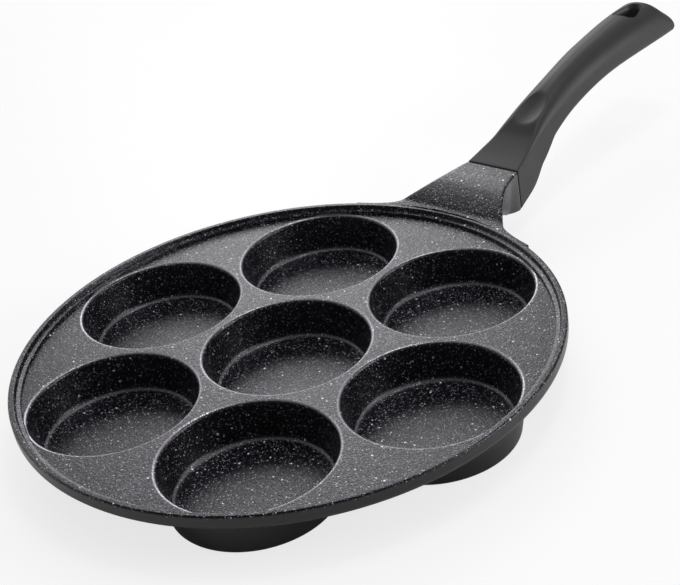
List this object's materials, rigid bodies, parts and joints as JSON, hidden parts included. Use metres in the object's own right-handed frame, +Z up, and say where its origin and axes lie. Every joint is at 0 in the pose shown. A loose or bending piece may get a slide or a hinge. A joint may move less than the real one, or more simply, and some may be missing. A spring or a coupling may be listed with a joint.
{
  "type": "egg pan",
  "caption": "Round die-cast frying pan with a flat deck holding round flat-bottomed cups for single eggs, a stepped rim and a long arched handle with a hanging hole",
  "frame": {"origin": "centre of the underside of the middle cup, on the surface the pan stands on", "axes": "+Z up out of the cups, +Y along the handle away from the pan, +X to the right seen from the pan's front with the handle pointing away"},
  "size_m": [0.26, 0.461, 0.0661],
  "materials": {
    "speckled_coating": "die-cast aluminium under a satin black non-stick coating with pale grey speckles, plain satin black underneath",
    "phenolic": "charcoal phenolic moulding with a fine matt soft-touch surface",
    "zinc_steel": "bright zinc-plated steel"
  },
  "bodies": {
    "root": {"pan_body": "speckled_coating", "handle": "phenolic", "handle_screw": "zinc_steel", "spring_washer": "zinc_steel", "flat_washer": "zinc_steel"}
  },
  "joints": []
}
